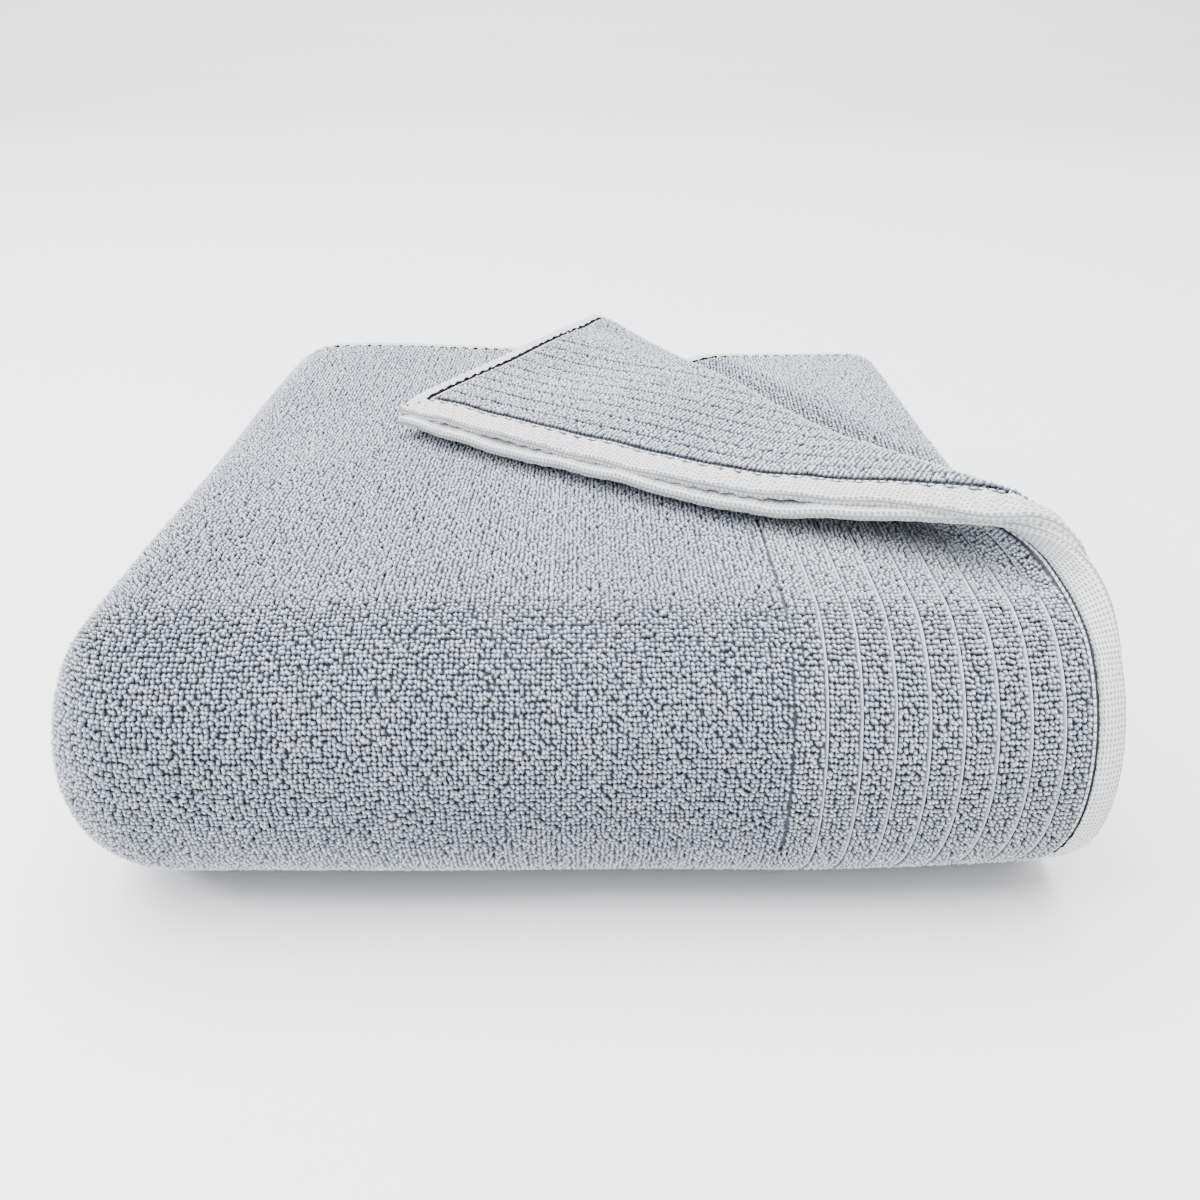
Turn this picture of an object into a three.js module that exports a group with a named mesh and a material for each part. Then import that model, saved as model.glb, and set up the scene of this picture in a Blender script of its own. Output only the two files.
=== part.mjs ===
// A bath towel of looped terry, folded into eight plies, with the back right corner of its two top
// plies turned over towards the front left. One cloth, so one solid, in mm. X runs to the right, Y to
// the back and Z up. The origin is under the middle of the towel, on the surface where it lies.
import * as THREE from 'three';

// The cloth. Its length runs between the two ribbed ends, its width between the two side hems.
const WIDTH = 757;
const PILE = 8.5; // thickness with the loops of both faces
const HEM = 4; // thickness where the edge is turned under and sewn
const END_HEM = 12.6;
const SIDE_HEM = 11;
const HEM_STEP = 1.6; // the short slope from hem up to pile
const RIBS = 9;
const RIB_START = 11.1; // the first rib is partly turned under with the hem
const RIB_PITCH = 11.45;
const GROOVE_HALF = 1.7;
const GROOVE_DEPTH = 1.5; // on each face
const BAND_END = RIB_START + RIBS * RIB_PITCH;

// The folded towel, at the middle of each ply's thickness. A ply's height counts from the pack's inner
// side: both ends lie on plies 2 and 3, and the whole pack is then folded over its front.
const RIGHT = 185;
const LEFT = -184;
const PLY_PITCH = 15.2;
const heightOf = (ply) => (ply + 0.5) * PLY_PITCH;
const OUTER = heightOf(3);
const LEFT_ROUND = 30; // how far each fold's round reaches sideways
const INNER_ROUND = 11;
const INNER_INSET = 11;
const RIGHT_ROUND = 16;
const RIGHT_INSET = 4;
const SHORT = 2.5; // the end on ply 2 stops this much short of the other
const FRONT = -178; // the outer ply's face on the front
const FRONT_ROUND = 46;
const FRONT_PITCH = 10.5; // plies press closer together inside the front fold
const FAN = 7; // each inner ply's edges stand out this much more at the back

// The turned corner. Its curl starts on a line from CREASE_BACK, an X on the back edge, to
// CREASE_FRONT, a distance down the right hem from the back corner.
const CREASE_BACK = -5;
const CREASE_FRONT = 341;
const CURL = { back: 6.6, middle: 5.3, front: 19 }; // inner radius along the crease
const CURL_OPENS = 0.52; // the share of the crease after which the curl widens towards the front
const CORNER_PITCH = 9.1; // between the corner's two plies
const HEMS_CLOSE = 4; // their end hems lie this much closer together
const FRONT_CLOSE = { by: 4.6, start: 0.72, full: 0.92 }; // and this much at the crease's front end
const REST_GAP = 0.8;
const TURN_RUN = { start: 24, full: 84 }; // how far up the right hem the plies start to slide
const NEAR_CREASE = 60; // where the two plies start to press together
const SLIDE = { none: -150, full: 0 }; // in X: the inner ply slides over the outer one between these
const RESTING = { start: 10, full: 110 }; // how far past the curl the corner sinks to the ply below
const CLOSE_RUN = 18; // the hems close together over this length
const CLOSE_FULL = 4;

// Unevenness: the plies that the corner leaves free puff up, the back left stands a little higher and
// the front right corner draws back.
const PUFF = { share: 0.3, run: 60 };
const LEAN = { share: 0.02, x: [60, -120], y: [-100, 150] };
const DRAW_BACK = { depth: 7, x: 60, run: 125, y: -60 };

// The middle of the folded towel in the plan, which becomes the origin
const CENTRE = { x: 1.4, y: 8.4 };

// How finely each stretch of cloth is laid out
const ROLL_STEPS = 9;
const CURL_STEPS = 6;
const CORNER_LINES = 8;
const RUN_STEP = 48;
const CLEAR_OF_CURL = 8;
const CLEAR_OF_EDGE = 2;
const SECTION_STEPS = [3, 7, 3, 6, 3, 6, 3]; // one count for each straight or round of the section
const ROUND_DIVISIONS = 48;
const DIRECTION_STEP = 0.4; // for the cloth's own directions at a point
const UPRIGHT = 0.001; // keeps a curl's first and last points just inside it

const { smoothstep, clamp } = THREE.MathUtils;

// 0 on one side of a slope and 1 on the other, whichever way the slope runs
function slope(value, from, to) {
  return from < to ? smoothstep(value, from, to) : 1 - smoothstep(value, to, from);
}

// The section across the folds, from the end on ply 3 to the end on ply 2. A turn is half an ellipse.
function layFolds() {
  const path = new THREE.CurvePath();
  const leftAxis = LEFT + PILE / 2 + LEFT_ROUND;
  const innerAxis = leftAxis - LEFT_ROUND + INNER_INSET + INNER_ROUND + PILE / 2;
  const rightAxis = RIGHT - RIGHT_INSET - PILE / 2 - RIGHT_ROUND;
  const down = [Math.PI / 2, (3 * Math.PI) / 2, false];
  const up = [-Math.PI / 2, Math.PI / 2, false];
  const back = [(3 * Math.PI) / 2, Math.PI / 2, true];
  const rows = [
    { from: RIGHT, to: leftAxis, ply: 3, reach: LEFT_ROUND, next: 0, turn: down },
    { from: leftAxis, to: rightAxis, ply: 0, reach: RIGHT_ROUND, next: 1, turn: up },
    { from: rightAxis, to: innerAxis, ply: 1, reach: INNER_ROUND, next: 2, turn: back },
    { from: innerAxis, to: RIGHT - SHORT, ply: 2 },
  ];
  for (const { from, to, ply, reach, next, turn } of rows) {
    const height = heightOf(ply);
    path.add(new THREE.LineCurve(new THREE.Vector2(from, height), new THREE.Vector2(to, height)));
    if (!turn) continue;
    const middle = (height + heightOf(next)) / 2;
    const half = Math.abs(heightOf(next) - height) / 2;
    path.add(new THREE.EllipseCurve(to, middle, reach, half, ...turn));
  }
  return path;
}
const folds = layFolds();
const LENGTH = folds.getLength();
const sectionAt = (u) => folds.getPoint(clamp(u / LENGTH, 0, 1));

// The front fold of a ply at a given height, and the straight run from it to the back edge
const ROLL_AXIS = FRONT + PILE / 2 + FRONT_ROUND;
const MIDDLE = OUTER + PILE / 2;
function frontFold(height) {
  const reach = FRONT_ROUND - ((OUTER - height) * FRONT_PITCH) / PLY_PITCH;
  const round = new THREE.EllipseCurve(ROLL_AXIS, MIDDLE, reach, height, Math.PI / 2, (3 * Math.PI) / 2);
  round.arcLengthDivisions = ROUND_DIVISIONS;
  return round;
}
const OUTER_RUN = (WIDTH - frontFold(OUTER).getLength()) / 2;
const runOf = (height) => OUTER_RUN + (FAN * (OUTER - height)) / PLY_PITCH;

// The crease's own directions in the plan: along it from the back to the front, and square to it
const creaseLength = Math.hypot(RIGHT - CREASE_BACK, CREASE_FRONT);
const along = new THREE.Vector2((RIGHT - CREASE_BACK) / creaseLength, CREASE_FRONT / creaseLength);
const across = new THREE.Vector2(along.y, -along.x);

function curlRadius(t) {
  const back = (CURL.back - CURL.middle) * clamp(1 - 2 * t, 0, 1) ** 2;
  const opening = clamp((t - CURL_OPENS) / (1 - CURL_OPENS), 0, 1);
  const front = (CURL.front - CURL.middle) * opening ** 2;
  return CURL.middle + back + front;
}

// Turns the corner of plies 2 and 3 over, while the pack still lies flat. x and v are the plan, and
// the angle says how far round the curl a point is.
function turnCorner(x, height, v) {
  const lower = (OUTER - height) / PLY_PITCH; // 1 on ply 2, which comes out on top
  const sliding = slope(CREASE_FRONT - v, TURN_RUN.start, TURN_RUN.full);
  const slide = lower * Math.PI * CORNER_PITCH * sliding * slope(x, SLIDE.none, SLIDE.full);
  const px = x + across.x * slide;
  const pv = v + across.y * slide;
  const past = (px - CREASE_BACK) * across.x + pv * across.y;
  const t = clamp(((px - CREASE_BACK) * along.x + pv * along.y) / creaseLength, 0, 1);
  const closing = slope(t, FRONT_CLOSE.start, FRONT_CLOSE.full) * slope(RIGHT - x, CLOSE_RUN, CLOSE_FULL);
  const pitch = CORNER_PITCH - FRONT_CLOSE.by * closing;
  if (past <= 0) {
    const nearer = PLY_PITCH + (pitch - PLY_PITCH) * slope(past, -NEAR_CREASE, 0);
    return { x: px, v: pv, height: OUTER - lower * nearer, angle: 0 };
  }
  const inner = curlRadius(t);
  const radius = inner + lower * pitch;
  const angle = Math.min(past / radius, Math.PI);
  const over = Math.max(past - Math.PI * radius, 0);
  const reach = (angle < Math.PI ? radius * Math.sin(angle) : -over) - past;
  const rest = (2 * inner - PILE - REST_GAP) * slope(over, RESTING.start, RESTING.full);
  const nearEnd = slope(RIGHT - x, CLOSE_RUN, 0) * slope(angle, 0, Math.PI / 2);
  const close = HEMS_CLOSE * (0.5 - lower) * nearEnd;
  return {
    x: px + across.x * reach,
    v: pv + across.y * reach,
    height: OUTER + inner - radius * Math.cos(angle) - rest + close,
    angle,
  };
}

// Folds the pack over its front. What the corner lifts above the outer ply keeps that ply's own way
// round the fold.
function foldFront(x, height, v) {
  const lift = Math.max(height - OUTER, 0);
  const ply = Math.min(height, OUTER);
  const round = frontFold(ply);
  const arc = round.getLength();
  const run = runOf(ply);
  const s = (v * (2 * run + arc)) / WIDTH;
  if (s < run) return new THREE.Vector3(x, ROLL_AXIS + run - s, MIDDLE + ply + lift);
  if (s > run + arc) return new THREE.Vector3(x, ROLL_AXIS + s - run - arc, MIDDLE - ply - lift);
  const at = clamp((s - run) / arc, 0, 1);
  const point = round.getPointAt(at);
  const way = round.getTangentAt(at);
  return new THREE.Vector3(x, point.x + way.y * lift, point.y - way.x * lift);
}

// The unevenness. It leaves the lowest ply where it is, so the towel lies flat.
function settle(point) {
  const outside = CURL.middle + CORNER_PITCH + PILE / 2;
  const v = ROLL_AXIS + OUTER_RUN - point.y;
  const past = (point.x - CREASE_BACK) * across.x + v * across.y - outside;
  const leaning = LEAN.share * slope(point.x, ...LEAN.x) * slope(point.y, ...LEAN.y);
  const swell = 1 + PUFF.share * slope(past, 0, PUFF.run) + leaning;
  point.z = PILE / 2 + (point.z - PILE / 2) * swell;
  const toRight = clamp((point.x - DRAW_BACK.x) / DRAW_BACK.run, 0, 1);
  point.y += DRAW_BACK.depth * toRight ** 2 * slope(point.y, DRAW_BACK.y, FRONT);
  return point;
}

const onUpperPlies = (u) => Math.min(u, LENGTH - u) < RIGHT - LEFT - LEFT_ROUND;

// Where the middle of the cloth lies, for a point of the flat cloth
function place(u, v) {
  const { x, y: height } = sectionAt(u);
  const nearCorner = onUpperPlies(u) && v < CREASE_FRONT + 2 * NEAR_CREASE;
  const turned = nearCorner ? turnCorner(x, height, v) : { x, height, v };
  return settle(foldFront(turned.x, turned.height, turned.v));
}

// The cloth's thickness: thin hems, then pile, with a groove between each two ribs of the bands
function thickness(u, v) {
  const end = Math.min(u, LENGTH - u);
  const side = Math.min(v, WIDTH - v);
  const fromHem = Math.min(end - END_HEM, side - SIDE_HEM);
  const body = HEM + (PILE - HEM) * clamp(fromHem / HEM_STEP, 0, 1);
  if (end < RIB_START + RIB_PITCH / 2 || end > BAND_END - RIB_PITCH / 2) return body;
  const fromGroove = Math.abs(((end - RIB_START + RIB_PITCH / 2) % RIB_PITCH) - RIB_PITCH / 2);
  const groove = 2 * GROOVE_DEPTH * clamp(1 - fromGroove / GROOVE_HALF, 0, 1);
  return Math.min(body, PILE - groove);
}

// Lines across the cloth, at these distances from one end to the other
function linesAlong() {
  const end = [0, END_HEM - HEM_STEP, END_HEM + HEM_STEP];
  for (let rib = 1; rib < RIBS; rib++) {
    const groove = RIB_START + rib * RIB_PITCH;
    end.push(groove - GROOVE_HALF, groove, groove + GROOVE_HALF);
  }
  end.push(BAND_END);
  const cornerEnd = RIGHT - CREASE_BACK + NEAR_CREASE / 2;
  for (let i = 1; i <= CORNER_LINES; i++) {
    end.push(BAND_END + ((cornerEnd - BAND_END) * i) / CORNER_LINES);
  }
  const lines = [...end];
  let start = 0;
  folds.curves.forEach((curve, part) => {
    const next = start + curve.getLength();
    const from = part === 0 ? cornerEnd : start;
    const to = part === folds.curves.length - 1 ? LENGTH - cornerEnd : next;
    const steps = SECTION_STEPS[part];
    for (let i = 1; i <= steps; i++) lines.push(from + ((to - from) * i) / steps);
    start = next;
  });
  const otherEnd = end.slice(0, -1).reverse().map((u) => LENGTH - u);
  return [...lines, ...otherEnd];
}

// Where a line across the cloth meets equal steps of the curl
function stepsOfCurl(u) {
  if (!onUpperPlies(u)) return [];
  const { x, y: height } = sectionAt(u);
  const angleAt = (v) => turnCorner(x, height, v).angle;
  const found = [];
  for (let v = 1; v < CREASE_FRONT; v++) {
    const high = angleAt(v - 1);
    const low = angleAt(v);
    for (let step = CURL_STEPS; step >= 0; step--) {
      const wanted = clamp((Math.PI * step) / CURL_STEPS, UPRIGHT, Math.PI - UPRIGHT);
      if (high > wanted && low <= wanted) found.push(v - 1 + (high - wanted) / (high - low));
    }
  }
  return found;
}

// The points of one line across the cloth, closest together in the curl and in the front fold
function pointsAcross(u) {
  const { y: height } = sectionAt(u);
  const run = runOf(height);
  const arc = frontFold(height).getLength();
  const share = WIDTH / (2 * run + arc);
  const hem = [0, SIDE_HEM, SIDE_HEM + HEM_STEP];
  const fixed = [...hem];
  for (let v = RUN_STEP; v < run * share - RUN_STEP / 2; v += RUN_STEP) fixed.push(v);
  for (let i = 0; i <= ROLL_STEPS; i++) fixed.push((run + (arc * i) / ROLL_STEPS) * share);
  fixed.push((run * 1.5 + arc) * share, ...hem.map((v) => WIDTH - v).reverse());
  const curl = stepsOfCurl(u).filter((v) => v > CLEAR_OF_EDGE);
  const [first, last] = [curl[0], curl[curl.length - 1]];
  const clearOfCurl = (v) => !curl.length || v < first - CLEAR_OF_CURL || v > last + CLEAR_OF_CURL;
  const kept = fixed.filter((v) => v === 0 || clearOfCurl(v));
  return [...kept, ...curl].sort((a, b) => a - b);
}

// A closed solid from the two faces of the cloth: neighbouring lines are joined by triangles, the
// shorter way first, and a narrow wall runs all round the edge.
function clothSolid() {
  const positions = [];
  const lines = linesAlong().map((u) => pointsAcross(u).map((v) => {
    const middle = place(u, v);
    const alongU = place(u + DIRECTION_STEP, v).sub(place(u - DIRECTION_STEP, v));
    const alongV = place(u, v + DIRECTION_STEP).sub(place(u, v - DIRECTION_STEP));
    const out = alongU.cross(alongV).normalize().multiplyScalar(thickness(u, v) / 2);
    const pair = [middle.clone().add(out), middle.clone().sub(out)].map((point) => {
      positions.push(point.x - CENTRE.x, point.y - CENTRE.y, Math.max(point.z, 0));
      return positions.length / 3 - 1;
    });
    return { middle, outer: pair[0], inner: pair[1] };
  }));
  const index = [];
  const sew = (a, b, c) => {
    index.push(a.outer, b.outer, c.outer);
    index.push(a.inner, c.inner, b.inner);
  };
  const edge = (a, b) => index.push(a.outer, b.outer, a.inner, b.outer, b.inner, a.inner);
  const wayBetween = (a, b) => (a && b ? a.middle.distanceTo(b.middle) : Infinity);
  for (let i = 1; i < lines.length; i++) {
    const [left, right] = [lines[i - 1], lines[i]];
    let [a, b] = [0, 0];
    while (a < left.length - 1 || b < right.length - 1) {
      const stepLeft = wayBetween(left[a + 1], right[b]);
      const stepRight = wayBetween(left[a], right[b + 1]);
      if (stepLeft < stepRight) sew(left[a], right[b], left[++a]);
      else sew(left[a], right[b], right[++b]);
    }
    edge(right[0], left[0]);
    edge(left[left.length - 1], right[right.length - 1]);
  }
  const [first, last] = [lines[0], lines[lines.length - 1]];
  for (let i = 1; i < first.length; i++) edge(first[i - 1], first[i]);
  for (let i = 1; i < last.length; i++) edge(last[i], last[i - 1]);
  const geometry = new THREE.BufferGeometry();
  geometry.setAttribute('position', new THREE.Float32BufferAttribute(positions, 3));
  geometry.setIndex(index);
  geometry.computeVertexNormals();
  return geometry;
}

const terry = new THREE.MeshStandardMaterial({ color: 0xb4b8c0, roughness: 0.95, metalness: 0 });

const towel = new THREE.Group();
const cloth = new THREE.Mesh(clothSolid(), terry);
cloth.name = 'towel';
towel.add(cloth);

export default towel;
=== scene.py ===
import math

import bmesh
import bpy
import numpy as np
from mathutils import Matrix


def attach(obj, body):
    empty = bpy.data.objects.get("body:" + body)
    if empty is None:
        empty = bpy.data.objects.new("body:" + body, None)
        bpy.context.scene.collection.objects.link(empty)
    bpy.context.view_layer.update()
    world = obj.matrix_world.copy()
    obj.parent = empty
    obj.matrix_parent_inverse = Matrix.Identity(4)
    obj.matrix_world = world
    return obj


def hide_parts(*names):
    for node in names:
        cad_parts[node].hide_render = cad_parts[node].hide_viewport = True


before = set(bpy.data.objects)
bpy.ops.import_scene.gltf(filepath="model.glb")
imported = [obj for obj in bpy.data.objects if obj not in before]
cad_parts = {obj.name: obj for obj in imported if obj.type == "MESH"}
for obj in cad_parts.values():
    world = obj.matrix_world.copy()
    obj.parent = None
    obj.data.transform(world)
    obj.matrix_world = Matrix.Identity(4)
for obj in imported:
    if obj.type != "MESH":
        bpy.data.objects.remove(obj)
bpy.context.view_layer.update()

# The cloth: one length of cotton terry, about 145 by 76 cm, woven with a ribbed band near each end.
# It is folded in half twice across its length and once across its width, and the back right corner
# of its two top plies is turned over to the front left. All lengths here are millimetres.
WIDTH = 757.0
PILE = 8.5
GROUND = 3.0
HEM = 4.0
HEM_CORE = 1.6
END_HEM = 12.6
SIDE_HEM = 11.0
RIBS = 9
RIB_START = 11.1
RIB_PITCH = 11.45
GROOVE_HALF = 0.75
BAND_END = RIB_START + RIBS * RIB_PITCH
RIGHT, LEFT = 185.0, -184.0
PLY_PITCH = 15.2
OUTER = 3.5 * PLY_PITCH
LEFT_ROUND, INNER_ROUND, INNER_INSET = 30.0, 11.0, 11.0
RIGHT_ROUND, RIGHT_INSET = 16.0, 4.0
SHORT = 2.5
FRONT, FRONT_ROUND, FRONT_PITCH = -178.0, 46.0, 10.5
FAN = 7.0
ROLL_AXIS = FRONT + PILE / 2 + FRONT_ROUND
MIDDLE = OUTER + PILE / 2
CREASE_BACK, CREASE_FRONT = -5.0, 341.0
CURL_BACK, CURL_MIDDLE, CURL_FRONT = 6.6, 5.3, 19.0
CURL_OPENS = 0.52
CORNER_PITCH = 9.1
HEMS_CLOSE, REST_GAP = 4.0, 0.8
FRONT_CLOSE, CLOSE_RUN = 4.6, 18.0
TURN_RUN, NEAR_CREASE = (24.0, 84.0), 60.0
PUFF, LEAN, DRAW_BACK = 0.3, 0.02, 7.0
CENTRE = np.array([1.4, 8.4, 0.0])
MM = 0.001


def slope(value, start, end):
    """0 before start and 1 past end, smoothly, whichever way the slope runs"""
    t = np.clip((value - start) / (end - start), 0.0, 1.0)
    return t * t * (3.0 - 2.0 * t)


def half_turn(x, middle, reach, half, start, end):
    """points round a fold, half an ellipse, in the section across the folds"""
    angle = np.linspace(start, end, 33)
    return np.column_stack([x + reach * np.cos(angle), middle + half * np.sin(angle)])


def section_of_folds():
    """the pack's section, from the end on its outer ply to the end on the ply inside it"""
    left_axis = LEFT + PILE / 2 + LEFT_ROUND
    inner_axis = left_axis - LEFT_ROUND + INNER_INSET + INNER_ROUND + PILE / 2
    right_axis = RIGHT - RIGHT_INSET - PILE / 2 - RIGHT_ROUND
    points = np.vstack([
        [[RIGHT, OUTER]],
        half_turn(left_axis, 2 * PLY_PITCH, LEFT_ROUND, 1.5 * PLY_PITCH, math.pi / 2, 3 * math.pi / 2),
        half_turn(right_axis, PLY_PITCH, RIGHT_ROUND, 0.5 * PLY_PITCH, -math.pi / 2, math.pi / 2),
        half_turn(inner_axis, 2 * PLY_PITCH, INNER_ROUND, 0.5 * PLY_PITCH, 3 * math.pi / 2, math.pi / 2),
        [[RIGHT - SHORT, 2.5 * PLY_PITCH]],
    ])
    way = np.concatenate([[0.0], np.cumsum(np.hypot(*np.diff(points, axis=0).T))])
    return way, points


SECTION_WAY, SECTION = section_of_folds()
LENGTH = float(SECTION_WAY[-1])

# The front fold's half ellipse for each ply height, as a table of angle by share of its length
FOLD_HEIGHTS = np.linspace(2.0, OUTER, 60)
FOLD_SHARES = np.linspace(0.0, 1.0, 65)


def front_reach(height):
    return FRONT_ROUND - (OUTER - height) * FRONT_PITCH / PLY_PITCH


def front_fold_tables():
    angle = np.linspace(0.0, math.pi, 257)
    arcs, angles = [], []
    for height in FOLD_HEIGHTS:
        steps = np.hypot(np.diff(front_reach(height) * np.sin(angle)), np.diff(height * np.cos(angle)))
        way = np.concatenate([[0.0], np.cumsum(steps)])
        arcs.append(way[-1])
        angles.append(np.interp(FOLD_SHARES, way / way[-1], angle))
    return np.array(arcs), np.array(angles)


FOLD_ARCS, FOLD_ANGLES = front_fold_tables()
OUTER_RUN = (WIDTH - FOLD_ARCS[-1]) / 2
CREASE = math.hypot(RIGHT - CREASE_BACK, CREASE_FRONT)
ALONG_X, ALONG_V = (RIGHT - CREASE_BACK) / CREASE, CREASE_FRONT / CREASE
ACROSS_X, ACROSS_V = ALONG_V, -ALONG_X


def turn_corner(u, x, height, v):
    """the two upper plies' corner, turned over while the pack still lies flat"""
    upper = (np.minimum(u, LENGTH - u) < RIGHT - LEFT - LEFT_ROUND) & (v < CREASE_FRONT + 2 * NEAR_CREASE)
    lower = (OUTER - height) / PLY_PITCH
    slide = lower * math.pi * CORNER_PITCH
    slide = slide * slope(CREASE_FRONT - v, *TURN_RUN) * slope(x, -150.0, 0.0)
    px = x + ACROSS_X * slide
    pv = v + ACROSS_V * slide
    past = (px - CREASE_BACK) * ACROSS_X + pv * ACROSS_V
    t = np.clip(((px - CREASE_BACK) * ALONG_X + pv * ALONG_V) / CREASE, 0.0, 1.0)
    pitch = CORNER_PITCH - FRONT_CLOSE * slope(t, 0.72, 0.92) * slope(RIGHT - x, CLOSE_RUN, 4.0)
    near = OUTER - lower * (PLY_PITCH + (pitch - PLY_PITCH) * slope(past, -NEAR_CREASE, 0.0))
    inner = CURL_MIDDLE + (CURL_BACK - CURL_MIDDLE) * np.clip(1 - 2 * t, 0, 1) ** 2
    opening = np.clip((t - CURL_OPENS) / (1 - CURL_OPENS), 0, 1)
    inner = inner + (CURL_FRONT - CURL_MIDDLE) * opening ** 2
    radius = inner + lower * pitch
    angle = np.clip(past / radius, 0.0, math.pi)
    over = np.maximum(past - math.pi * radius, 0.0)
    reach = np.where(angle < math.pi, radius * np.sin(angle), -over) - past
    rest = (2 * inner - PILE - REST_GAP) * slope(over, 10.0, 110.0)
    end = RIGHT - x
    close = HEMS_CLOSE * (0.5 - lower) * slope(end, CLOSE_RUN, 0.0) * slope(angle, 0.0, math.pi / 2)
    wave = corner_waves(v, end, lower, over, t) * slope(angle, math.pi / 3, math.pi)
    turned = upper & (past > 0)
    raised = OUTER + inner - radius * np.cos(angle) - rest + close + wave
    px = np.where(turned, px + ACROSS_X * reach, np.where(upper, px, x))
    pv = np.where(turned, pv + ACROSS_V * reach, np.where(upper, pv, v))
    height = np.where(turned, raised, np.where(upper, near, height))
    return px, height, pv, np.where(upper, past, -1e3), angle * upper


def corner_waves(v, end, lower, over, t):
    """the turned corner's own unevenness: wavy hems, and two soft dents"""
    hem = slope(end, 34.0, 0.0)
    wave = hem * 0.5 * np.sin(v / 5.3 + 2.4 * lower) * np.sin(v / 27.0 + 0.5)
    wave = wave + hem * 0.6 * np.sin(v / 19.0 + 1.1 - 2.0 * lower)
    dents = 2.4 * np.exp(-(((end - 78.0) / 26.0) ** 2) - ((v - 40.0) / 30.0) ** 2)
    dents = dents + 2.0 * np.exp(-(((end - 150.0) / 14.0) ** 2) - ((v - 26.0) / 16.0) ** 2)
    return wave - dents * slope(over, 0.0, 12.0)


def fold_front(x, height, v):
    """the whole pack, folded over its front edge"""
    lift = np.maximum(height - OUTER, 0.0)
    ply = np.clip(height, FOLD_HEIGHTS[0], OUTER)
    row = (ply - FOLD_HEIGHTS[0]) / (FOLD_HEIGHTS[1] - FOLD_HEIGHTS[0])
    low = np.clip(row.astype(int), 0, len(FOLD_HEIGHTS) - 2)
    part = row - low
    arc = FOLD_ARCS[low] * (1 - part) + FOLD_ARCS[low + 1] * part
    run = OUTER_RUN + FAN * (OUTER - ply) / PLY_PITCH
    s = v * (2 * run + arc) / WIDTH
    share = np.clip((s - run) / arc, 0.0, 1.0) * (len(FOLD_SHARES) - 1)
    left = np.clip(share.astype(int), 0, len(FOLD_SHARES) - 2)
    rest = share - left
    upper = FOLD_ANGLES[low, left] * (1 - rest) + FOLD_ANGLES[low, left + 1] * rest
    lower = FOLD_ANGLES[low + 1, left] * (1 - rest) + FOLD_ANGLES[low + 1, left + 1] * rest
    angle = upper * (1 - part) + lower * part
    reach = front_reach(ply)
    out_y, out_z = np.sin(angle) * ply, np.cos(angle) * reach
    size = np.hypot(out_y, out_z)
    straight = np.maximum(run - s, 0.0) + np.maximum(s - run - arc, 0.0)
    y = ROLL_AXIS - reach * np.sin(angle) + straight - lift * out_y / size
    z = MIDDLE + ply * np.cos(angle) + lift * out_z / size
    return x, y, z


def settle(x, y, z):
    """the stack's unevenness, none of it at the lowest ply, so the towel lies flat"""
    v = ROLL_AXIS + OUTER_RUN - y
    past = (x - CREASE_BACK) * ACROSS_X + v * ACROSS_V - CURL_MIDDLE - CORNER_PITCH - PILE / 2
    swell = 1 + PUFF * slope(past, 0.0, 60.0) + LEAN * slope(x, 60.0, -120.0) * slope(y, -100.0, 150.0)
    uneven = 0.9 * np.sin(x / 41.0 + 1.3) * np.sin(y / 33.0 + 0.4) + 0.6 * np.sin(x / 23.0 - y / 31.0)
    z = PILE / 2 + (z - PILE / 2) * (swell + uneven / (2 * MIDDLE))
    y = y + DRAW_BACK * np.clip((x - 60.0) / 125.0, 0.0, 1.0) ** 2 * slope(y, -60.0, FRONT)
    waver = 0.9 * np.sin(x / 47.0 + 0.6) * np.sin(z / 29.0) + 0.5 * np.sin(x / 21.0 + z / 19.0)
    y = y + waver * slope(y, -120.0, FRONT) * slope(z, 0.0, 30.0)
    return np.column_stack([x, y, z]) - CENTRE


def place(u, v):
    """where the middle of the cloth lies, for points of the flat cloth"""
    x = np.interp(u, SECTION_WAY, SECTION[:, 0])
    height = np.interp(u, SECTION_WAY, SECTION[:, 1])
    x, height, folded_v, _, _ = turn_corner(u, x, height, v)
    return settle(*fold_front(x, height, folded_v))


def lie(u, v, step=0.5):
    """the cloth's middle, and its own directions there: along, across, and out of its face"""
    along = place(np.minimum(u + step, LENGTH), v) - place(np.maximum(u - step, 0.0), v)
    across = place(u, np.minimum(v + step, WIDTH)) - place(u, np.maximum(v - step, 0.0))
    out = np.cross(along, across)
    directions = [d / np.linalg.norm(d, axis=1, keepdims=True) for d in (along, across, out)]
    return place(u, v), *directions


def from_edges(u, v):
    return np.minimum(u, LENGTH - u), np.minimum(v, WIDTH - v)


def thickness(u, v):
    """thin ground cloth under the pile, thinner still inside the hems"""
    end, side = from_edges(u, v)
    hem = slope(np.minimum(end - END_HEM, side - SIDE_HEM), 0.6, -1.4)
    return GROUND + (HEM_CORE - GROUND) * hem


def grid_lines(stops):
    """positions between named stops, each with its own spacing"""
    lines = [np.array([stops[0][0]])]
    for (start, _), (end, spacing) in zip(stops, stops[1:]):
        count = max(int(math.ceil((end - start) / spacing)), 1)
        lines.append(np.linspace(start, end, count + 1)[1:])
    return np.concatenate(lines)


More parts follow.
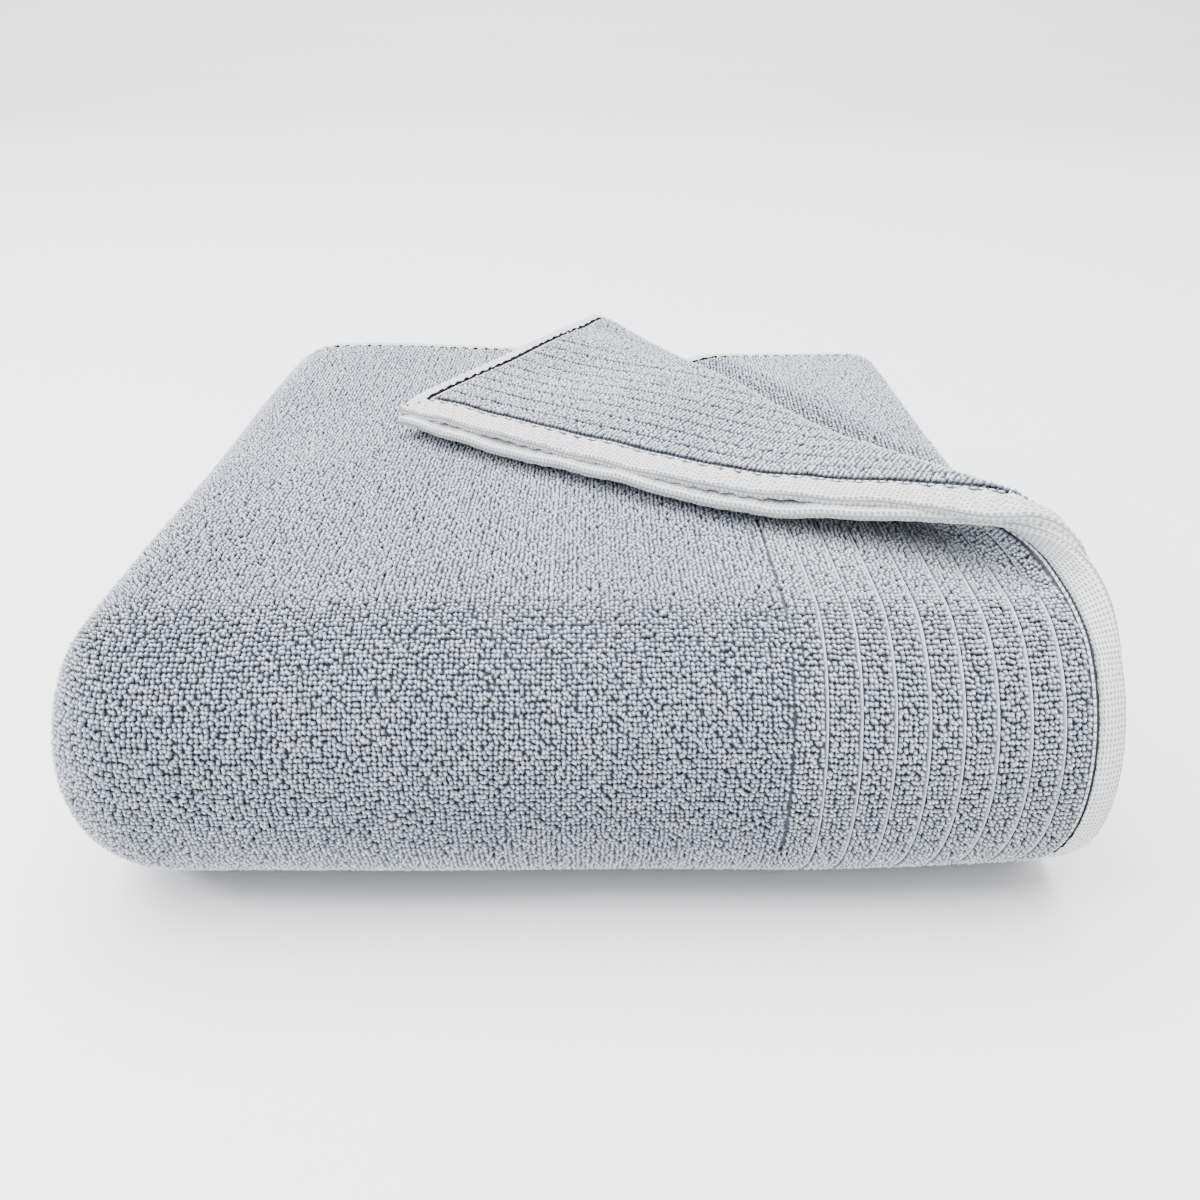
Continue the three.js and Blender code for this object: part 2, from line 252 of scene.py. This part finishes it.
def ground_lines():
    """the cloth's own grid, fine in the folds and where the corner turns"""
    end = [(1.0, 0.0), (END_HEM - 2.0, 5.0), (END_HEM + 1.0, 1.0), (BAND_END, 3.8),
           (RIGHT - CREASE_BACK + 30.0, 4.8)]
    last = [(LENGTH - stop, 0.0) for stop, _ in reversed(end)]
    spacing = [gap for _, gap in reversed(end)]
    last = [(stop, spacing[i - 1] if i else 9.0) for i, (stop, _) in enumerate(last)]
    turns = [(330.0, 12.0), (425.0, 4.4), (700.0, 18.0), (790.0, 3.6), (1050.0, 14.0), (1115.0, 3.6)]
    along = grid_lines(end + turns + last)
    side = [(1.0, 0.0), (SIDE_HEM - 2.0, 4.0), (SIDE_HEM + 1.0, 1.0)]
    roll = [(300.0, 5.2), (465.0, 5.0), (WIDTH - SIDE_HEM - 1.0, 18.0)]
    far = [(WIDTH - SIDE_HEM + 2.0, 1.0), (WIDTH - 1.0, 4.0)]
    across = grid_lines(side + roll + far)
    return along, across


def mesh_of(bm, name):
    mesh = bpy.data.meshes.new(name)
    bm.to_mesh(mesh)
    bm.free()
    piece = bpy.data.objects.new(name, mesh)
    bpy.context.scene.collection.objects.link(piece)
    return piece


def set_points(mesh, points):
    mesh.vertices.foreach_set("co", (points * MM).astype(np.float32).ravel())
    mesh.update()


def weave_ground():
    """two faces of one cloth, made flat from a grid, joined round the edge and then laid in its folds"""
    along, across = ground_lines()
    bm = bmesh.new()
    grid = bmesh.ops.create_grid(bm, x_segments=len(along) - 1, y_segments=len(across) - 1, size=1.0)
    copy = bmesh.ops.duplicate(bm, geom=bm.verts[:] + bm.edges[:] + bm.faces[:])
    under = [item for item in copy["geom"] if isinstance(item, bmesh.types.BMVert)]
    bmesh.ops.translate(bm, verts=under, vec=(0.0, 0.0, -1.0))
    faces = [item for item in copy["geom"] if isinstance(item, bmesh.types.BMFace)]
    bmesh.ops.reverse_faces(bm, faces=faces)
    rims = [edge for edge in bm.edges if edge.is_boundary]
    bmesh.ops.bridge_loops(bm, edges=rims)
    bmesh.ops.recalc_face_normals(bm, faces=bm.faces[:])
    piece = mesh_of(bm, "towel_cloth")
    mesh = piece.data
    flat = np.empty(len(mesh.vertices) * 3, dtype=np.float32)
    mesh.vertices.foreach_get("co", flat)
    flat = flat.reshape(-1, 3)
    u = along[np.rint((flat[:, 0] + 1) / 2 * (len(along) - 1)).astype(int)]
    v = across[np.rint((flat[:, 1] + 1) / 2 * (len(across) - 1)).astype(int)]
    face = np.where(flat[:, 2] > -0.5, 1.0, -1.0)
    middle, _, _, out = lie(u, v)
    points = middle + out * (face * thickness(u, v) / 2)[:, None]
    points[:, 2] = np.maximum(points[:, 2], 0.2)
    set_points(mesh, points)
    uv = mesh.uv_layers.new(name="cloth")
    corners = np.empty(len(mesh.loops), dtype=np.int32)
    mesh.loops.foreach_get("vertex_index", corners)
    uv.data.foreach_set("uv", np.column_stack([u, v])[corners].astype(np.float32).ravel() * MM)
    mesh.polygons.foreach_set("use_smooth", np.ones(len(mesh.polygons), dtype=bool))
    return piece


cloth = weave_ground()


class Wire:
    """a socket's output, on which Python's arithmetic adds Math nodes"""

    def __init__(self, finish, socket):
        self.finish = finish
        self.socket = socket

    def math(self, operation, *others):
        return self.finish.node("ShaderNodeMath", {"operation": operation}, self, *others)

    def __add__(self, other):
        return self.math("ADD", other)

    def __mul__(self, other):
        return self.math("MULTIPLY", other)

    def __sub__(self, other):
        return self.math("SUBTRACT", other)

    def __rsub__(self, other):
        return self.finish.node("ShaderNodeMath", {"operation": "SUBTRACT"}, other, self)

    def __truediv__(self, other):
        return self.math("DIVIDE", other)

    __radd__ = __add__
    __rmul__ = __mul__


class Finish:
    """a material whose nodes are added one call at a time"""

    def __init__(self, name, roughness, sheen):
        self.material = bpy.data.materials.new(name)
        self.material.use_nodes = True
        self.nodes = self.material.node_tree.nodes
        self.links = self.material.node_tree.links
        self.shader = self.nodes["Principled BSDF"]
        self.shader.inputs["Roughness"].default_value = roughness
        self.shader.inputs["Specular IOR Level"].default_value = 0.2
        self.shader.inputs["Sheen Weight"].default_value = sheen
        self.shader.inputs["Sheen Roughness"].default_value = 0.5

    def fill(self, socket, value):
        if isinstance(value, Wire):
            self.links.new(value.socket, socket)
        else:
            socket.default_value = value

    def node(self, kind, settings=None, *values, out=0, **named):
        node = self.nodes.new(kind)
        for key, value in (settings or {}).items():
            setattr(node, key, value)
        for socket, value in zip(node.inputs, values):
            self.fill(socket, value)
        for key, value in named.items():
            self.fill(node.inputs[key.replace("_", " ").title()], value)
        return Wire(self, node.outputs[out])

    def mix(self, factor, first, second):
        node = self.nodes.new("ShaderNodeMix")
        node.data_type = "RGBA"
        self.fill(node.inputs[0], factor)
        self.fill(node.inputs[6], first)
        self.fill(node.inputs[7], second)
        return Wire(self, node.outputs[2])

    def noise(self, vector, scale, detail=2.0):
        node = self.nodes.new("ShaderNodeTexNoise")
        self.fill(node.inputs["Vector"], vector)
        node.inputs["Scale"].default_value = scale
        node.inputs["Detail"].default_value = detail
        return Wire(self, node.outputs["Factor" if "Factor" in node.outputs else 0])

    def step(self, value, start, end):
        return self.node("ShaderNodeMapRange", {"clamp": True}, value, start, end, 0.0, 1.0)

    def bump(self, height, distance, strength=1.0):
        node = self.nodes.new("ShaderNodeBump")
        node.inputs["Strength"].default_value = strength
        node.inputs["Distance"].default_value = distance
        self.fill(node.inputs["Height"], height)
        self.links.new(node.outputs[0], self.shader.inputs["Normal"])

    def colour(self, wire):
        self.fill(self.shader.inputs["Base Color"], wire)


def paint(red, green, blue, alpha=1.0):
    """an sRGB colour of 0 to 255 as a linear one"""
    return tuple(((c / 255 + 0.055) / 1.055) ** 2.4 for c in (red, green, blue)) + (alpha,)


def ground_finish():
    """the slate-grey ground weave that shows between the loops and in the grooves of the bands, darkened with
    painted shade for the shade that falls there
    """
    f = Finish("terry_ground", 0.9, 0.15)
    uv = f.node("ShaderNodeUVMap", {"uv_map": "cloth"})
    heather = f.noise(uv, 900.0, 3.0)
    # partly the ground yarn's own slate tone and partly painted shade: both tones are darker than the yarn
    # alone, for the shade deep between the loops and in the grooves
    f.colour(f.mix(heather, paint(58, 64, 78), paint(112, 118, 132)))
    f.bump(heather, 0.0004)
    return f.material


cloth.data.materials.append(ground_finish())
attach(cloth, "root")
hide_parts("towel")


# The pile: loops of soft twisted yarn that stand up from the ground in rows, on both faces. They
# leave the hems and the narrow grooves of the ribbed bands bare. Each area's loops are one piece.
LOOP_ROW, LOOP_COLUMN = 1.70, 1.68
RIB_ROW, RIB_COLUMNS = 1.85, 6
LOOP_TALL = (PILE - GROUND) / 2
LOOP_WIDE, LOOP_LONG = 1.34, 1.86


def loop_shape(sides):
    """one loop of yarn as a plump grain: a closed form of a few faces, 1 tall and 1 across"""
    bm = bmesh.new()
    turn = Matrix.Rotation(math.pi / sides, 4, "Z")
    bmesh.ops.create_cone(bm, segments=sides, radius1=0.71, radius2=0.0, depth=0.4, matrix=turn)
    bmesh.ops.translate(bm, verts=bm.verts[:], vec=(0.0, 0.0, 0.8))
    rim = [edge for edge in bm.edges if edge.is_boundary]
    below = bmesh.ops.extrude_edge_only(bm, edges=rim)
    foot = [item for item in below["geom"] if isinstance(item, bmesh.types.BMVert)]
    bmesh.ops.pointmerge(bm, verts=foot, merge_co=(0.0, 0.0, -0.1))
    bmesh.ops.remove_doubles(bm, verts=bm.verts[:], dist=1e-5)
    bmesh.ops.recalc_face_normals(bm, faces=bm.faces[:])
    bmesh.ops.triangulate(bm, faces=bm.faces[:])
    points = np.array([vert.co[:] for vert in bm.verts])
    faces = np.array([[vert.index for vert in face.verts] for face in bm.faces])
    bm.free()
    return points, faces


yarn = np.random.default_rng(7)
FINE_LOOP = loop_shape(4)
COARSE_LOOP = loop_shape(3)


def loops_of_ribs(u_range, v_range, size):
    """the feet of the bands' loops: whole columns in each rib, and rows that run straight across"""
    columns = max(int(RIB_COLUMNS / size), 2)
    room = RIB_PITCH - 2 * GROOVE_HALF
    within = GROOVE_HALF + room * (np.arange(columns) + 0.5) / columns
    starts = RIB_START + RIB_PITCH * np.arange(RIBS)
    end = (starts[:, None] + within).ravel()
    end = end[end > END_HEM + 0.1]
    v = np.arange(*v_range, RIB_ROW * size)
    feet = []
    for u in (end, LENGTH - end):
        u = u[(u >= u_range[0]) & (u <= u_range[1])]
        u, rows = (axis.ravel() for axis in np.meshgrid(u, v, indexing="ij"))
        feet.append((u + yarn.normal(0.0, 0.09, len(u)), rows + yarn.normal(0.0, 0.11, len(u))))
    u, v = (np.concatenate(axis) for axis in zip(*feet))
    inside = np.minimum(v, WIDTH - v) > SIDE_HEM + 0.3
    return u[inside], v[inside]


def rows_of_loops(u_range, v_range, size=1.0):
    """the loops' feet on the flat cloth, in slightly uneven rows, without hems and grooves"""
    u = np.arange(*u_range, LOOP_COLUMN * size)
    v = np.arange(*v_range, LOOP_ROW * size)
    u, v = (axis.ravel() for axis in np.meshgrid(u, v, indexing="ij"))
    drift = np.sin(v / 31.0) + np.sin(u / 17.0 + v / 53.0)
    u = u + yarn.normal(0.0, 0.08 * LOOP_COLUMN, len(u)) + 0.5 * drift
    v = v + yarn.normal(0.0, 0.08 * LOOP_ROW, len(v)) + 0.4 * np.sin(u / 37.0)
    end, side = from_edges(u, v)
    keep = (end > BAND_END) & (side > SIDE_HEM + 0.3)
    band_u, band_v = loops_of_ribs(u_range, v_range, size)
    return np.append(u[keep], band_u), np.append(v[keep], band_v)


def join_grains(name, places, directions, shape, sizes, lean=None, tones=None):
    """one mesh of many small grains, each set on the cloth with its own size and lean"""
    points, faces = shape
    count = len(places)
    along, across, out = directions
    px, py, pz = (axis[None, :] * size[:, None] for axis, size in zip(points.T, sizes))
    if lean is not None:
        px = px + lean[:, :1] * pz
        py = py + lean[:, 1:] * pz
    laid = places[:, None] + px[..., None] * along[:, None] + py[..., None] * across[:, None]
    laid = laid + pz[..., None] * out[:, None]
    laid[..., 2] = np.maximum(laid[..., 2], 0.0)
    faces = (faces[None] + (np.arange(count) * len(points))[:, None, None]).reshape(-1, 3)
    mesh = bpy.data.meshes.new(name)
    mesh.vertices.add(count * len(points))
    mesh.loops.add(len(faces) * 3)
    mesh.polygons.add(len(faces))
    mesh.loops.foreach_set("vertex_index", faces.astype(np.int32).ravel())
    mesh.polygons.foreach_set("loop_start", np.arange(0, len(faces) * 3, 3, dtype=np.int32))
    set_points(mesh, laid.reshape(-1, 3))
    mesh.polygons.foreach_set("use_smooth", np.ones(len(faces), dtype=bool))
    shade = mesh.attributes.new("shade", "FLOAT", "POINT")
    tones = yarn.uniform(0.0, 1.0, count) if tones is None else tones
    shade.data.foreach_set("value", np.repeat(tones, len(points)).astype(np.float32))
    # the height of each point in its grain, from which the loops' finish paints a highlight at the tip and shade
    # at the foot
    tip = mesh.attributes.new("tip", "FLOAT", "POINT")
    tip.data.foreach_set("value", np.tile(points[:, 2], count).astype(np.float32))
    mesh.validate()
    mesh.update()
    piece = bpy.data.objects.new(name, mesh)
    bpy.context.scene.collection.objects.link(piece)
    return piece


def sow(name, u, v, size=1.0, shape=None):
    """one piece of pile: a loop at each foot, leaning a little its own way"""
    places, along, across, out = lie(u, v)
    count = len(u)
    end, _ = from_edges(u, v)
    sizes = [LOOP_WIDE * size * yarn.uniform(0.82, 1.12, count),
             LOOP_LONG * size * yarn.uniform(0.85, 1.15, count),
             LOOP_TALL * yarn.uniform(0.86, 1.05, count)]
    turn = 0.6 + yarn.normal(0.0, 0.35, count)
    first = along * np.cos(turn)[:, None] + across * np.sin(turn)[:, None]
    second = across * np.cos(turn)[:, None] - along * np.sin(turn)[:, None]
    lean = yarn.normal(0.0, 0.13, (count, 2))
    tones = np.clip(yarn.uniform(0.0, 1.0, count) + 0.35 * (end < BAND_END), 0.0, 1.0)
    places = places + out * GROUND / 2
    directions = first, second, out
    piece = join_grains(name, places, directions, shape or FINE_LOOP, sizes, lean, tones)
    piece.data.materials.append(pile_finish)
    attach(piece, "root")
    return piece


def loop_finish():
    """heather yarn, blue-grey, each loop a little lighter or darker than the next; its tip is a painted
    highlight, pale to white, and its foot painted shade, near black
    """
    f = Finish("terry_loops", 0.95, 0.25)
    tip = f.node("ShaderNodeAttribute", {"attribute_name": "tip"}, out=2)
    shade = f.node("ShaderNodeAttribute", {"attribute_name": "shade"}, out=2)
    coordinates = f.node("ShaderNodeTexCoord", out=3)
    heather = f.noise(coordinates, 320.0, 2.0)
    cloud = f.noise(coordinates, 14.0, 2.0)
    side = f.mix(shade, paint(98, 105, 121), paint(134, 141, 154))
    # painted highlight: the colour each loop's tip fades to, pale to white
    pale = f.mix(shade, paint(206, 213, 226), paint(255, 255, 255))
    pale = f.mix(f.step(heather, 0.45, 0.7) * 0.4, pale, side)
    pale = f.mix(f.step(cloud, 0.35, 0.7) * 0.25, pale, paint(170, 172, 176))
    # painted shade: below its middle each loop darkens to near black at its foot, where shade falls between the
    # loops
    foot = f.mix(f.step(tip, 0.30, 0.58), paint(30, 34, 45), side)
    f.colour(f.mix(f.step(tip, 0.72, 0.95), foot, pale))
    return f.material


pile_finish = loop_finish()


def corner_of(u, v):
    """how far past the crease a point is, and its angle round the curl"""
    x = np.interp(u, SECTION_WAY, SECTION[:, 0])
    height = np.interp(u, SECTION_WAY, SECTION[:, 1])
    _, _, _, past, angle = turn_corner(u, x, height, v)
    return x, past, angle


def under_corner(x, v):
    """whether a point of the top lies well under the turned corner, out of sight"""
    past = (x - CREASE_BACK) * ACROSS_X + v * ACROSS_V
    over = -2 * past + math.pi * CURL_MIDDLE
    return (past < -6) & (x + over * ACROSS_X < RIGHT - 42.0) & (v + over * ACROSS_V > 42.0)


OUTER_END = float(SECTION_WAY[33]) + 4.0
RIGHT_FOLD = float(SECTION_WAY[34]), float(SECTION_WAY[66])
ROLL_FROM, ROLL_TO = 300.0, 466.0

# the top, up to where the corner has curled out of sight, then the front
for name, near, far in (("pile_top_right", END_HEM, 196.0), ("pile_top_left", 196.0, OUTER_END)):
    u, v = rows_of_loops((near, far), (SIDE_HEM, ROLL_FROM))
    x, past, angle = corner_of(u, v)
    shows = ((past < 0) & ~under_corner(x, v)) | ((past >= 0) & (angle < math.pi) & (x > 90.0))
    sow(name, u[shows], v[shows])
u, v = rows_of_loops((END_HEM, OUTER_END), (ROLL_FROM, ROLL_TO))
sow("pile_front", u, v)

# the underside and the lower left, which lie in shadow, have coarser loops
u, v = rows_of_loops((END_HEM, 330.0), (ROLL_TO, WIDTH - SIDE_HEM), 2.2)
sow("pile_under", u, v, 2.2, COARSE_LOOP)
u, v = rows_of_loops((330.0, OUTER_END), (ROLL_TO, WIDTH - SIDE_HEM), 1.25)
sow("pile_low_left", u, v, 1.25, COARSE_LOOP)

# the turned corner, its other face up
u, v = rows_of_loops((LENGTH - 215.0, LENGTH - END_HEM), (SIDE_HEM, CREASE_FRONT + 6.0))
x, past, angle = corner_of(u, v)
shows = past > -4
sow("pile_corner", u[shows], v[shows])

# the ply that the corner uncovers, and the fold at the right
u, v = rows_of_loops((RIGHT_FOLD[0] - 14.0, RIGHT_FOLD[1] + 178.0), (SIDE_HEM, 380.0))
x, y = (place(u, v) + CENTRE)[:, :2].T
past = (x - CREASE_BACK) * ACROSS_X + (ROLL_AXIS + OUTER_RUN - y) * ACROSS_V
shows = (u < RIGHT_FOLD[1] + 6.0) | (past > 6.0)
sow("pile_uncovered", u[shows], v[shows])
u, v = rows_of_loops((RIGHT_FOLD[0] - 14.0, RIGHT_FOLD[1] + 6.0), (380.0, WIDTH - SIDE_HEM), 1.25)
sow("pile_low_right", u, v, 1.25, COARSE_LOOP)


# Between the ribs of each band runs a thin welt of plain weave, beside a narrow gap in the pile.
def weave_welts():
    """low ridges along the grooves of both bands, made flat and laid on the cloth"""
    bm = bmesh.new()
    welts = [(end, rib) for end in (0, 1) for rib in range(1, RIBS)]
    for number in range(len(welts)):
        at = Matrix.Translation((0.0, 0.0, number))
        bmesh.ops.create_grid(bm, x_segments=3, y_segments=220, size=1.0, matrix=at)
    piece = mesh_of(bm, "band_welts")
    mesh = piece.data
    flat = np.empty(len(mesh.vertices) * 3, dtype=np.float32)
    mesh.vertices.foreach_get("co", flat)
    x, y, z = flat.reshape(-1, 3).T
    end, rib = np.array(welts)[np.rint(z).astype(int)].T
    run = RIB_START + rib * RIB_PITCH + WELT_AT + x * WELT_HALF
    u = np.where(end == 0, run, LENGTH - run)
    v = WIDTH / 2 + y * (WIDTH / 2 - SIDE_HEM)
    middle, _, _, out = lie(u, v)
    tall = WELT_TALL * np.where(end == 0, 1.0, 0.3)
    rise = GROUND / 2 - 0.3 + tall * np.sqrt(np.clip(1.0 - x * x, 0.0, 1.0))
    set_points(mesh, middle + out * rise[:, None])
    mesh.polygons.foreach_set("use_smooth", np.ones(len(mesh.polygons), dtype=bool))
    return piece


WELT_AT, WELT_HALF, WELT_TALL = -0.2, 0.55, 2.0


def pale_finish(name, colour):
    f = Finish(name, 0.9, 0.15)
    coordinates = f.node("ShaderNodeTexCoord", out=3)
    heather = f.noise(coordinates, 1100.0, 2.0)
    f.colour(f.mix(heather * 0.6, colour, paint(178, 184, 194)))
    f.bump(heather, 0.0004)
    return f.material


welts = weave_welts()
welts.data.materials.append(pale_finish("welt_weave", paint(206, 210, 217)))
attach(welts, "root")


# The hems: the plain-woven edge of the cloth turned under, puffy and puckered where the seam draws
# it in. One long sleeve goes round the edge of each hem, with its own fine grid.
END_HEM_ROUND, SIDE_HEM_ROUND = 18, 10


def hem_section(share, wide):
    """the outline of a hem's section, from one face round the edge to the other: in from the edge, out"""
    turn = np.pi * (share - 0.5)
    edge = 1.4
    straight = np.abs(turn) > 0.62
    reach = np.where(straight, (np.abs(turn) - 0.62) / (np.pi / 2 - 0.62), 0.0)
    inward = np.where(straight, edge + (wide - edge) * reach, edge * (1 - np.cos(turn / 0.62 * np.pi / 2)))
    height = np.where(straight, 1.0, np.sin(np.abs(turn) / 0.62 * np.pi / 2))
    return inward, height * np.sign(turn)


def puckers(run, inward, wide, slant, period):
    """soft ridges that the seam draws across a hem, none at its edge"""
    phase = 2 * math.pi * (run + slant * inward) / period
    uneven = 0.7 + 0.3 * np.sin(run / 13.0 + 1.0)
    return uneven * (np.sin(phase) + 0.35 * np.sin(2.3 * phase + 1.0)) * np.sin(np.pi * inward / wide) ** 0.7


def turn_hem(name, at_end, far, step):
    """one hem, made as a flat grid: run along the hem, and share of the way round its section"""
    whole = WIDTH if at_end else LENGTH
    wide = END_HEM if at_end else SIDE_HEM
    count = int(whole / step)
    bm = bmesh.new()
    bmesh.ops.create_grid(bm, x_segments=count, y_segments=END_HEM_ROUND if at_end else SIDE_HEM_ROUND, size=1.0)
    piece = mesh_of(bm, name)
    mesh = piece.data
    flat = np.empty(len(mesh.vertices) * 3, dtype=np.float32)
    mesh.vertices.foreach_get("co", flat)
    run, share, _ = flat.reshape(-1, 3).T
    run = (run + 1) / 2 * whole
    inward, face = hem_section((share + 1) / 2, wide)
    inward = np.minimum(inward, np.minimum(run, whole - run) + 0.4)
    other = LENGTH if at_end else WIDTH
    depth = other - inward if far else inward
    u, v = (depth, run) if at_end else (run, depth)
    middle, _, _, out = lie(u, v)
    slant, period, rise = (0.9, 7.6, 1.25 if far else 0.4) if at_end else (0.5, 6.4, 0.7)
    rise = rise * puckers(run, inward, wide, slant, period) * face
    plump = 1.0 + 0.55 * np.sin(np.pi * np.clip(inward / wide, 0.0, 1.0))
    tucked = plump - 0.2 * slope(inward, wide - 2.2, wide)
    points = middle + out * (face * HEM / 2 * tucked + rise)[:, None]
    points[:, 2] = np.maximum(points[:, 2], 0.1)
    set_points(mesh, points)
    uv = mesh.uv_layers.new(name="hem")
    corners = np.empty(len(mesh.loops), dtype=np.int32)
    mesh.loops.foreach_get("vertex_index", corners)
    laid = np.column_stack([run, inward + 40.0 * (face > 0)])
    uv.data.foreach_set("uv", laid[corners].astype(np.float32).ravel() * MM)
    mesh.polygons.foreach_set("use_smooth", np.ones(len(mesh.polygons), dtype=bool))
    piece.data.materials.append(hem_finish)
    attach(piece, "root")


def bell(f, wire, width):
    """1 in the middle of each whole step of the value and 0 outside a share of it"""
    off = (wire.math("FRACT") - 0.5).math("ABSOLUTE")
    return f.step(off, width / 2 + 0.18, width / 2 - 0.12)


def weave_finish():
    """pale plain weave with small slanting gaps, like fine knitting"""
    f = Finish("hem_weave", 0.9, 0.2)
    uv = f.node("ShaderNodeUVMap", {"uv_map": "hem"})
    parts = f.nodes.new("ShaderNodeSeparateXYZ")
    f.links.new(uv.socket, parts.inputs[0])
    run, inward = Wire(f, parts.outputs[0]), Wire(f, parts.outputs[1])
    drift = f.noise(uv, 240.0, 1.0) * 0.5
    column = inward / (1.25 * MM) + drift
    dash = run / (1.9 * MM) + column.math("FLOOR") * 0.5 + column * 0.45
    hole = bell(f, column, 0.34) * bell(f, dash, 0.45)
    heather = f.noise(uv, 1400.0, 3.0)
    pale = f.mix(heather * 0.8, paint(246, 246, 245), paint(196, 199, 203))
    f.colour(f.mix(hole * 0.75, pale, paint(128, 133, 143)))
    f.bump(heather * 0.5 - hole, 0.0005)
    return f.material


hem_finish = weave_finish()
turn_hem("end_hem_outer", True, False, 1.25)
turn_hem("end_hem_inner", True, True, 1.25)
turn_hem("side_hem_back", False, False, 1.6)
turn_hem("side_hem_under", False, True, 4.0)


# The hems are sewn down with a row of white lockstitch close to the pile.
STITCH_PITCH = 2.7


def sew_hems():
    """short plump stitches along all four hems, on both faces"""
    run = np.arange(SIDE_HEM, WIDTH - SIDE_HEM, STITCH_PITCH)
    ends = [(np.full(len(run), u), run) for u in (END_HEM - 0.7, LENGTH - END_HEM + 0.7)]
    run = np.arange(END_HEM, LENGTH - END_HEM, STITCH_PITCH)
    sides = [(run, np.full(len(run), v)) for v in (SIDE_HEM - 0.7, WIDTH - SIDE_HEM + 0.7)]
    rows = [(u, v, True) for u, v in ends] + [(u, v, False) for u, v in sides]
    u = np.concatenate([row[0] for row in rows])
    v = np.concatenate([row[1] for row in rows])
    down = np.concatenate([np.full(len(row[0]), row[2]) for row in rows])[:, None]
    places, along, across, out = lie(np.tile(u, 2), np.tile(v, 2))
    face = np.repeat([1.0, -1.0], len(u))[:, None]
    down = np.tile(down, (2, 1))
    first = np.where(down, across, along)
    second = np.where(down, -along, across) * face
    places = places + out * face * (HEM / 2 - 0.25)
    count = len(places)
    sizes = [np.full(count, 2.5), np.full(count, 1.1), np.full(count, 0.9)]
    return join_grains("hem_stitches", places, (first, second, out * face), FINE_LOOP, sizes)


stitches = sew_hems()
stitches.data.materials.append(pale_finish("thread", paint(252, 252, 252)))
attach(stitches, "root")


# The surface it lies on, the light and the camera.
bm = bmesh.new()
bmesh.ops.create_grid(bm, x_segments=2, y_segments=60, size=9.0)
for vert in bm.verts:
    beyond = max(vert.co.y - 3.0, 0.0)
    vert.co.z = -0.0004 + 0.25 * beyond ** 2
floor = mesh_of(bm, "floor")
plain = Finish("floor_finish", 0.6, 0.0)
plain.shader.inputs["Base Color"].default_value = paint(252, 252, 253)
floor.data.materials.append(plain.material)

world = bpy.data.worlds.new("pale_room")
bpy.context.scene.world = world
world.use_nodes = True
world.node_tree.nodes["Background"].inputs["Color"].default_value = (1.0, 1.0, 1.0, 1.0)
world.node_tree.nodes["Background"].inputs["Strength"].default_value = 1.3


def soft_light(name, place_at, aim_at, size, watts):
    lamp = bpy.data.lights.new(name, "AREA")
    lamp.shape = "DISK"
    lamp.size = size
    lamp.energy = watts
    piece = bpy.data.objects.new(name, lamp)
    bpy.context.scene.collection.objects.link(piece)
    piece.location = place_at
    way = np.array(aim_at) - np.array(place_at)
    piece.rotation_euler = (math.atan2(math.hypot(way[0], way[1]), -way[2]), 0.0, math.atan2(-way[0], way[1]))


soft_light("ceiling", (-0.6, 0.3, 4.0), (0.0, 0.0, 0.0), 5.0, 600.0)
soft_light("key", (-1.2, -0.5, 1.0), (0.0, 0.0, 0.05), 0.4, 16.0)

CAMERA_AT = (7.1 * MM - CENTRE[0] * MM, -425.0 * MM - CENTRE[1] * MM, 291.6 * MM)
CAMERA_DOWN = 31.03
FOCAL_PIXELS, PICTURE = 983.6, 1200.0
lens = bpy.data.cameras.new("camera")
lens.sensor_width = 36.0
lens.lens = FOCAL_PIXELS / PICTURE * lens.sensor_width
camera = bpy.data.objects.new("camera", lens)
bpy.context.scene.collection.objects.link(camera)
camera.location = CAMERA_AT
camera.rotation_euler = (math.radians(90.0 - CAMERA_DOWN), 0.0, 0.0)
bpy.context.scene.camera = camera
